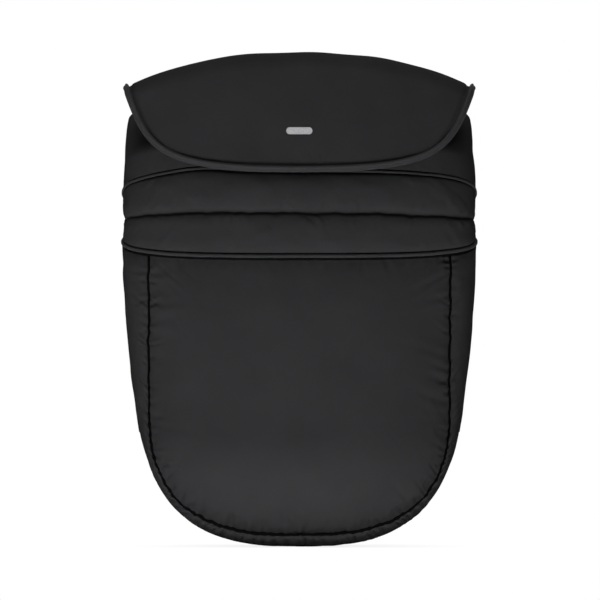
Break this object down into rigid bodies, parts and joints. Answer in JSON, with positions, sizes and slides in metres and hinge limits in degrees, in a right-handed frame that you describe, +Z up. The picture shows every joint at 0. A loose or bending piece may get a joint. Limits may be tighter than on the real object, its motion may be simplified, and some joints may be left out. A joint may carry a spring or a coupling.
{
  "type": "stroller leg cover",
  "caption": "Padded leg cover for a pushchair seat: a flap folded over the bumper bar, a quilted band between corded seams and a padded foot pocket with a gusset.",
  "frame": {"origin": "middle of the room that the flap leaves for the bumper bar, on the plane of symmetry", "axes": "+Z up along the hanging cover, -Y out of its front, +X to the right seen from the front"},
  "size_m": [0.4092, 0.1443, 0.568],
  "materials": {
    "shell_cloth": "smooth black polyester with a soft sheen",
    "lining_cloth": "brushed black lining",
    "wadding": "white polyester wadding",
    "trim_tape": "folded satin tape",
    "elastic": "knitted elastic",
    "webbing": "woven webbing",
    "stud_metal": "gunmetal",
    "reflective_film": "grey reflective film"
  },
  "bodies": {
    "cover": {"body_panel_shell": "shell_cloth", "body_panel_wadding": "wadding", "body_panel_lining": "lining_cloth", "upper_piping": "trim_tape", "band_shell": "shell_cloth", "band_wadding_upper": "wadding", "band_wadding_lower": "wadding", "band_lining": "lining_cloth", "lower_piping": "trim_tape", "front_panel_shell": "shell_cloth", "front_panel_wadding": "wadding", "front_panel_lining": "lining_cloth", "gusset_shell": "shell_cloth", "gusset_wadding": "wadding", "gusset_lining": "lining_cloth", "heel_shell": "shell_cloth", "heel_lining": "lining_cloth", "heel_binding": "trim_tape", "heel_elastic": "elastic", "hem_binding_left": "trim_tape", "hem_binding_right": "trim_tape", "body_stud_left": "stud_metal", "body_stud_right": "stud_metal", "strap_stud_left": "stud_metal", "strap_stud_right": "stud_metal", "strap_patch_left": "webbing", "strap_patch_right": "webbing"},
    "flap": {"flap_shell": "shell_cloth", "flap_wadding": "wadding", "flap_lining": "lining_cloth", "flap_binding": "trim_tape", "reflective_bar": "reflective_film", "flap_socket_left": "stud_metal", "flap_socket_right": "stud_metal"},
    "strap_left": {"strap_left": "webbing", "strap_socket_left": "stud_metal"},
    "strap_right": {"strap_right": "webbing", "strap_socket_right": "stud_metal"}
  },
  "joints": [
    {"name": "flap_lift", "type": "hinge", "parent": "cover", "child": "flap", "pos_m": [0, 0.032, -0.0451], "axis": [-1, 0, 0], "range_deg": [0, 120]},
    {"name": "strap_left_open", "type": "hinge", "parent": "cover", "child": "strap_left", "pos_m": [-0.18874, 0.065, -0.105], "axis": [0, 0, 1], "range_deg": [0, 75]},
    {"name": "strap_right_open", "type": "hinge", "parent": "cover", "child": "strap_right", "pos_m": [0.18874, 0.065, -0.105], "axis": [0, 0, -1], "range_deg": [0, 75]}
  ]
}
